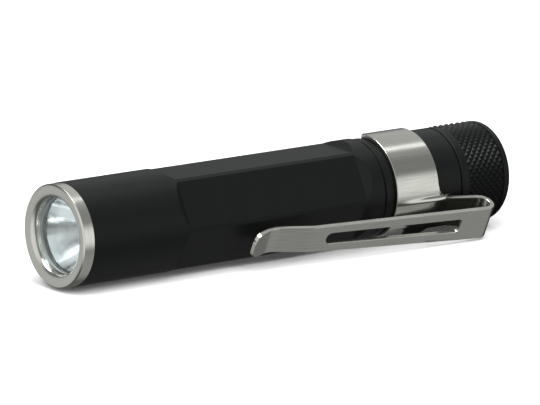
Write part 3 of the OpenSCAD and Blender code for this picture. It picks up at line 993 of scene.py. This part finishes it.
    def cut_lines(self) -> tuple[list[float], list[float]]:
        """Lines on which the flat pattern is divided so that it can bend.

        Returns:
            Lengths along the strip, and distances from its middle line on the wings.
        """
        band = self.band_end - self.band_start
        along = list(self.run[1:-1])
        along += [length for length, across in self.outline() if length > band and across]
        for start, end in zip(self.run[:-1], self.run[1:]):
            count = int((end - start) / self.row)
            along += list(np.linspace(start, end, count + 2)[1:-1])
        bends = self.wing_bends
        across = list(np.linspace(bends[1], bends[2], self.crease_cuts))
        across += list(np.linspace(bends[3], bends[4], self.crease_cuts))
        across += list(np.linspace(bends[4], bends[5], self.wing_cuts)[1:-1])
        return sorted(along), across

    def blank(self) -> bpy.types.Object:
        """Cuts one half of the flat pattern, divides it along its bends and mirrors it.

        Returns:
            The flat strip, with length along X and distance from the middle line along Y.
        """
        blank = closed_loop("pocket_clip", [(length, across, 0.0) for length, across in self.outline()])
        open_mesh(blank)
        bpy.ops.mesh.edge_face_add()
        along, across = self.cut_lines()
        for place in along:
            bpy.ops.mesh.select_all(action="SELECT")
            bpy.ops.mesh.bisect(plane_co=(place, 0, 0), plane_no=(1, 0, 0), threshold=self.cut_snap)
        close_mesh()
        fillet_end = self.band_end - self.band_start + self.tab_fillet
        for place in across:
            select_corners(blank, lambda places: places[:, 0] < fillet_end + MERGE)
            bpy.ops.mesh.bisect(plane_co=(0, place, 0), plane_no=(0, 1, 0), threshold=self.cut_snap)
            close_mesh()
        open_mesh(blank)
        bpy.ops.mesh.remove_doubles(threshold=MERGE)
        close_mesh()
        apply_modifier(blank, "MIRROR", use_axis=(False, True, False), use_clip=True, merge_threshold=MERGE)
        return blank

    def fold(self, places: np.ndarray) -> np.ndarray:
        """Bends the flat pattern to shape.

        Args:
            places: Corners of the flat pattern.

        Returns:
            The same corners on the middle surface of the finished clip, which faces its own direction.
        """
        length, across = places[:, 0], places[:, 1]
        x = np.interp(length, self.run, self.side[:, 0])
        height = np.interp(length, self.run, self.side[:, 1])
        band = self.band_end - self.band_start
        fade = ease((band + self.tab_fillet - length) / self.tab_fillet)
        wing = np.abs(across)
        land, landing = math.radians(self.joggle_end), self.wing_bends[4]
        beyond = land + (wing - landing) / self.band_middle
        round_angle = np.where(wing < landing, land * wing / landing, beyond)
        crease = ease(length / band)
        wrapped = np.interp(wing, self.wrap_run, self.wrap[:, 0]) * crease
        wrapped += self.band_middle * np.sin(round_angle) * (1 - crease)
        sunk = np.interp(wing, self.wrap_run, self.wrap[:, 1]) * crease - self.tab_height
        sunk += self.band_middle * np.cos(round_angle) * (1 - crease)
        aside = np.sign(across) * (wing + (wrapped - wing) * fade)
        height = height + sunk * fade
        turn = math.radians(self.facing - 90)
        y = aside * math.cos(turn) - height * math.sin(turn)
        z = aside * math.sin(turn) + height * math.cos(turn)
        return np.column_stack([x, y, z])

    def lay_out(self, strip: bpy.types.Object) -> None:
        """Keeps the flat pattern as a map on the strip, for the lines of the brushing.

        Args:
            strip: The flat strip.
        """
        layer = strip.data.uv_layers.new(name=self.PATTERN)
        corners = np.empty(len(strip.data.loops), dtype=np.int32)
        strip.data.loops.foreach_get("vertex_index", corners)
        layer.data.foreach_set("uv", places_of(strip)[corners, :2].astype(np.float32).ravel())

    def strip(self) -> bpy.types.Object:
        """Makes the folded strip with its thickness and its broken edges.

        Returns:
            The finished strip.
        """
        strip = self.blank()
        self.lay_out(strip)
        move_to(strip, self.fold(places_of(strip)))
        open_mesh(strip)
        bpy.ops.mesh.normals_make_consistent(inside=False)
        close_mesh()
        apply_modifier(strip, "SOLIDIFY", thickness=self.thick, offset=0.0, use_even_offset=True)
        apply_modifier(strip, "BEVEL", width=self.edge, segments=self.edge_segments, limit_method="ANGLE",
                       angle_limit=math.radians(self.edge_angle), use_clamp_overlap=False, loop_slide=False)
        return finished(strip, self.crisp)

    def build(self, shop: Shop) -> None:
        """Makes the clip, dresses it and bakes its place into its mesh.

        Args:
            shop: Keeper of the finishes.
        """
        strip = self.strip()
        shop.dress(strip, "clip_steel", ("clip_band", "clip_arm"))
        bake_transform(strip)
        LOG.info("%s bends between clip_band and clip_arm in clip_steel", strip.name)


@dataclass
class Tail:
    """Screw cap with its diamond knurl, and the spring inside it."""

    cap_start: float = 61.75
    land: float = 6.85
    land_break: float = 0.12
    edge: float = 0.03
    edge_steps: int = 3
    mouth: float = 6.34
    mouth_end: float = 63.25
    thread: float = 6.14
    thread_end: float = 66.3
    seat: float = 4.23
    seat_end: float = 68.02
    crisp: float = 24.0
    knurl_start: float = 62.9
    knurl_end: float = 69.05
    knurl_radius: float = 6.98
    knurl_depth: float = 0.21
    knurl_count: int = 42
    knurl_rows: float = 6.25
    cells: int = 8
    plateau: float = 0.8
    groove_floor: float = 0.02
    knurl_gap: float = 0.02
    end_radius: float = 6.9
    cap_end: float = 70.25
    rim: float = 0.65
    rim_steps: int = 12
    chamfer: float = 0.22
    chamfer_low: float = 6.72
    wire: float = 0.3
    wire_sides: int = 12
    spring_front: float = 59.52
    spring_rear: float = 67.08
    spring_front_radius: float = 2.1
    spring_rear_radius: float = 3.5
    spring_turns: int = 5
    spring_steps: int = 48
    spring_crisp: float = 50.0

    def profile(self) -> list[Point2]:
        """Draws the section of the cap.

        Returns:
            (x, radius) points from the mouth to the end and back inside, with one for each step of the knurl.
        """
        rows = round(self.knurl_rows * self.cells)
        front = bend_corners([
            (self.cap_start, self.mouth, 0.0), (self.cap_start, self.land - self.land_break, self.edge),
            (self.cap_start + self.land_break, self.land, self.edge),
            (self.knurl_start - self.knurl_gap, self.land, 0.0),
        ], self.edge_steps, False)
        grip = [(self.knurl_start + (self.knurl_end - self.knurl_start) * row / rows, self.knurl_radius)
                for row in range(rows + 1)]
        rear = bend_corners([
            (self.knurl_end + self.knurl_gap, self.end_radius, 0.0),
            (self.cap_end, self.end_radius, self.rim), (self.cap_end, 0.0, 0.0),
        ], self.rim_steps, False)
        inside = [
            (self.seat_end, 0.0), (self.seat_end, self.seat), (self.thread_end, self.seat),
            (self.thread_end, self.thread), (self.mouth_end, self.thread), (self.mouth_end, self.mouth),
        ]
        return front + grip + rear + inside

    def knurl(self, places: np.ndarray) -> tuple[np.ndarray, np.ndarray]:
        """Works out the crossing grooves of the grip.

        Args:
            places: Corners of the turned cap.

        Returns:
            The radius of each corner after the grooves are cut, and whether it lies at the bottom of one.
        """
        x, angle = places[:, 0], np.arctan2(places[:, 2], places[:, 1])
        radius = from_axis(places)
        on_grip = (x > self.knurl_start - MERGE) & (x < self.knurl_end + MERGE) & (radius > self.land)
        around = angle * self.knurl_count / FULL_TURN
        along = (x - self.knurl_start) / (self.knurl_end - self.knurl_start) * self.knurl_rows
        first = np.abs((around + along + 0.5) % 1.0 - 0.5) * 2
        second = np.abs((around - along + 0.5) % 1.0 - 0.5) * 2
        nearest = np.minimum(first, second)
        height = np.minimum(nearest / self.plateau, 1.0)
        cut = self.knurl_radius - self.knurl_depth * (1 - height)
        edge = np.minimum(x - self.knurl_start, self.knurl_end - x)
        ramp = self.chamfer_low + (self.knurl_radius - self.chamfer_low) * edge / self.chamfer
        cut = np.minimum(cut, np.maximum(ramp, self.chamfer_low))
        bottom = on_grip & (nearest < self.groove_floor)
        return np.where(on_grip, cut, radius), bottom

    def cap(self) -> bpy.types.Object:
        """Turns the cap and cuts its knurl.

        Returns:
            The finished cap.
        """
        cap = turned("tail_cap_shell", self.profile(), self.knurl_count * self.cells)
        _, bottom = self.knurl(places_of(cap))
        select_corners(cap, lambda _: bottom)
        bpy.ops.mesh.vert_connect()
        close_mesh()
        moved = places_of(cap)
        radius, _ = self.knurl(moved)
        before = np.maximum(from_axis(moved), MERGE)
        moved[:, 1:] *= (radius / before)[:, None]
        move_to(cap, moved)
        return finished(cap, self.crisp)

    def spring(self) -> bpy.types.Object:
        """Winds the conical spring from a round wire.

        Returns:
            The finished spring.
        """
        sides = self.wire_sides
        deselect_all()
        bpy.ops.mesh.primitive_circle_add(
            vertices=sides, radius=self.wire, location=(self.spring_front, self.spring_front_radius, 0))
        spring = added("tail_spring_wire")
        apply_place()
        steps = self.spring_turns * self.spring_steps
        apply_modifier(spring, "SCREW", axis="X", angle=FULL_TURN * self.spring_turns,
                       screw_offset=self.spring_rear - self.spring_front, iterations=1, steps=steps,
                       render_steps=steps)
        places = places_of(spring)
        share = np.repeat(np.arange(len(places) // sides) / steps, sides)
        centres = places.reshape(-1, sides, 3).mean(axis=1)[:, 1:]
        outwards = centres / np.linalg.norm(centres, axis=1)[:, None]
        spread = (self.spring_rear_radius - self.spring_front_radius) * share
        places[:, 1:] += np.repeat(outwards, sides, axis=0) * spread[:, None]
        move_to(spring, places)
        open_mesh(spring)
        bpy.ops.mesh.select_mode(type="EDGE")
        bpy.ops.mesh.select_all(action="DESELECT")
        bpy.ops.mesh.select_non_manifold()
        bpy.ops.mesh.edge_face_add()
        close_seams()
        close_mesh()
        return finished(spring, self.spring_crisp)

    def build(self, shop: Shop) -> None:
        """Makes the cap and the spring and dresses them.

        Args:
            shop: Keeper of the finishes.
        """
        shop.fit(self.cap(), "tail_cap", "black_anodised", "tail_cap")
        spring = self.spring()
        shop.dress(spring, "contact_brass", ("tail_spring",))
        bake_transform(spring)
        LOG.info("%s stretches between barrel and tail_contact in contact_brass", spring.name)


@dataclass(frozen=True)
class SoftBox:
    """Soft light that looks at the object.

    Attributes:
        name: Name of the light.
        place: Place in metres.
        size: Width and height in metres.
        power: Power in watts.
        floor_share: Whether it falls on the floor alone or on all else.
    """

    name: str
    place: Point3
    size: Point2
    power: float
    floor_share: FloorShare

    def build(self, aim: Vector, floor: bpy.types.Object) -> None:
        """Adds the light.

        Args:
            aim: Point that it faces, in metres.
            floor: The floor, which it lights or leaves out.
        """
        lamp = bpy.data.lights.new(self.name, "AREA")
        lamp.shape = "RECTANGLE"
        lamp.size, lamp.size_y = self.size
        lamp.energy = self.power
        holder = bpy.data.objects.new(self.name, lamp)
        bpy.context.scene.collection.objects.link(holder)
        holder.location = self.place
        holder.rotation_mode = "QUATERNION"
        holder.rotation_quaternion = (aim - Vector(self.place)).to_track_quat("-Z", "Y")
        holder.visible_camera = False
        lit = bpy.data.collections.new(self.name + "_falls_on")
        lit.objects.link(floor)
        lit.collection_objects[0].light_linking.link_state = self.floor_share.value
        holder.light_linking.receiver_collection = lit


@dataclass(frozen=True)
class Glow:
    """Soft patch of light in the room.

    Attributes:
        direction: Where the patch lies, seen from the object.
        reach: Angles in degrees at which the patch has faded out and at which it is full.
        strength: Brightness of the patch.
    """

    direction: Point3
    reach: Point2
    strength: float

    def build(self, tree: bpy.types.NodeTree, view: bpy.types.NodeSocket) -> bpy.types.NodeSocket:
        """Lays out the patch.

        Args:
            tree: Node tree of the room.
            view: Direction that is looked in.

        Returns:
            Brightness of the patch in that direction.
        """
        facing = tree.nodes.new("ShaderNodeVectorMath")
        facing.operation = "DOT_PRODUCT"
        facing.inputs[1].default_value = Vector(self.direction).normalized()
        tree.links.new(view, facing.inputs[0])
        edge, full = (math.cos(math.radians(angle)) for angle in self.reach)
        return remap(tree, facing.outputs["Value"], (edge, full), (0.0, self.strength), soft=True)


@dataclass
class Studio:
    """Pale floor, soft lights and the camera.

    The floor and the dark card of painted shadow are placed in millimetres, the lights and the camera in
    metres.
    """

    middle: Point3 = (0.034, 0.0, 0.0)
    floor_middle: Point3 = (0.0, 0.0, -7.43)
    floor_size: Point2 = (8000.0, 8000.0)
    floor_colour: Colour = (0.90, 0.90, 0.90)
    floor_gloss: float = 0.1
    floor_glow: float = 0.04
    # Dark card: painted shadow of the floor under the clip's turned end, seen only in reflections.
    painted_shadow_card_middle: Point3 = (64.9, -1.5, -7.4)
    painted_shadow_card_size: Point2 = (21.2, 15.4)
    painted_shadow_card_colour: Colour = (0.01, 0.01, 0.01)
    panel_roughness: float = 0.9
    panel_steps: int = 40
    world_light: float = 0.12
    backdrop: float = 1.0
    camera_place: Point3 = (-0.40879, -0.58890, 0.15751)
    camera_right: Point3 = (0.79941, -0.60079, 0.0)
    camera_down: Point3 = (-0.12562, -0.16714, -0.97790)
    camera_ahead: Point3 = (0.58751, 0.78174, -0.20908)
    lens: float = 371.81
    sensor: float = 36.0
    nearest: float = 0.01
    boxes: tuple[SoftBox, ...] = (
        SoftBox("key_box", (-0.20, 0.10, 1.10), (0.7, 0.7), 15.0, FloorShare.ALL_ELSE),
        SoftBox("floor_box", (-0.35, -0.55, 1.00), (1.8, 1.8), 44.0, FloorShare.FLOOR_ALONE),
    )
    # Each patch is mirrored in one place: the face of the bezel, the near side of the round steel, its top,
    # the bright line between these, two patches beside that line, the flat of the arm, and the bowl.
    glows: tuple[Glow, ...] = (
        Glow((-0.57, 0.79, -0.18), (48, 15), 0.46),
        Glow((0.59, -0.80, 0.02), (25, 8), 1.0),
        Glow((0.59, 0.45, 0.65), (36, 20), 0.48),
        Glow((0.59, 0.04, 0.81), (6, 2), 1.5),
        Glow((0.59, -0.12, 0.80), (16, 4), 0.14),
        Glow((0.59, -0.45, 0.67), (40, 12), 0.18),
        Glow((0.55, -0.34, -0.76), (40, 15), 0.25),
        Glow((-0.86, -0.34, 0.12), (60, 25), 0.85),
    )

    def panel(self, name: str, middle: Point3, size: Point2, colour: Colour) -> bpy.types.Object:
        """Lays a flat, dull panel that isn't part of the object.

        Args:
            name: Name of the panel and its material.
            middle: Place of its middle in millimetres.
            size: Length and width in millimetres.
            colour: Its colour.

        Returns:
            The panel.
        """
        deselect_all()
        bpy.ops.mesh.primitive_grid_add(x_subdivisions=self.panel_steps, y_subdivisions=self.panel_steps,
                                        size=1, location=Vector(middle) * MM)
        panel = added(name)
        panel.scale = (size[0] * MM, size[1] * MM, 1.0)
        material = bpy.data.materials.new(name)
        material.use_nodes = True
        shader = material.node_tree.nodes["Principled BSDF"]
        shader.inputs["Base Color"].default_value = (*colour, 1.0)
        shader.inputs["Roughness"].default_value = self.panel_roughness
        panel.data.materials.append(material)
        panel.visible_diffuse = False
        panel.visible_shadow = False
        return panel

    def floor(self) -> bpy.types.Object:
        """Lays the pale floor, which the metal doesn't mirror.

        Returns:
            The floor.
        """
        floor = self.panel("studio_floor", self.floor_middle, self.floor_size, self.floor_colour)
        shader = floor.active_material.node_tree.nodes["Principled BSDF"]
        shader.inputs["Specular IOR Level"].default_value = self.floor_gloss
        shader.inputs["Emission Color"].default_value = (1.0, 1.0, 1.0, 1.0)
        shader.inputs["Emission Strength"].default_value = self.floor_glow
        floor.visible_glossy = False
        return floor

    def painted_shadow_card(self) -> None:
        """Lays a dark card under the turned end of the clip, which only reflections show: a painted shadow
        standing in for the shaded floor that the steel mirrors there.
        """
        painted_shadow_card = self.panel("studio_painted_shadow_card", self.painted_shadow_card_middle, self.painted_shadow_card_size, self.painted_shadow_card_colour)
        painted_shadow_card.visible_camera = False
        painted_shadow_card.visible_transmission = False

    def world(self) -> None:
        """Fills the room with dim light and its soft patches, and shows the camera a pale backdrop."""
        world = bpy.data.worlds.new("studio_room")
        bpy.context.scene.world = world
        world.use_nodes = True
        tree = world.node_tree
        room = tree.nodes["Background"]
        room.inputs["Color"].default_value = (1.0, 1.0, 1.0, 1.0)
        view = tree.nodes.new("ShaderNodeTexCoord").outputs["Generated"]
        light = None
        for glow in self.glows:
            total = tree.nodes.new("ShaderNodeMath")
            total.inputs[1].default_value = self.world_light
            if light:
                tree.links.new(light, total.inputs[1])
            tree.links.new(glow.build(tree, view), total.inputs[0])
            light = total.outputs["Value"]
        tree.links.new(light, room.inputs["Strength"])
        seen = tree.nodes.new("ShaderNodeBackground")
        seen.inputs["Color"].default_value = (1.0, 1.0, 1.0, 1.0)
        seen.inputs["Strength"].default_value = self.backdrop
        path = tree.nodes.new("ShaderNodeLightPath")
        choice = tree.nodes.new("ShaderNodeMixShader")
        tree.links.new(path.outputs["Is Camera Ray"], choice.inputs["Fac"])
        tree.links.new(room.outputs["Background"], choice.inputs[1])
        tree.links.new(seen.outputs["Background"], choice.inputs[2])
        tree.links.new(choice.outputs["Shader"], tree.nodes["World Output"].inputs["Surface"])

    def camera(self) -> None:
        """Places the camera where the photograph was taken from."""
        data = bpy.data.cameras.new("camera")
        data.sensor_width = self.sensor
        data.lens = self.lens
        data.clip_start = self.nearest
        camera = bpy.data.objects.new("camera", data)
        bpy.context.scene.collection.objects.link(camera)
        right, up = Vector(self.camera_right), -Vector(self.camera_down)
        back = -Vector(self.camera_ahead)
        turn = Matrix((right, up, back)).transposed().to_4x4()
        camera.matrix_world = Matrix.Translation(Vector(self.camera_place)) @ turn
        bpy.context.scene.camera = camera

    def build(self) -> None:
        """Sets up the floor, the room, the lights and the camera."""
        bpy.context.scene.view_settings.view_transform = "Standard"
        floor = self.floor()
        self.painted_shadow_card()
        self.world()
        for box in self.boxes:
            box.build(Vector(self.middle), floor)
        self.camera()


def main() -> None:
    """Builds the pieces of the light in order and sets up the studio."""
    logging.basicConfig(level=logging.INFO, format="%(message)s")
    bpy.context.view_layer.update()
    shop = Shop()
    Studio().build()
    Barrel().build(shop)
    Head().build(shop)
    Clip().build(shop)
    Tail().build(shop)
    shop.dress_solids()
    deselect_all()


if __name__ == "__main__":
    main()
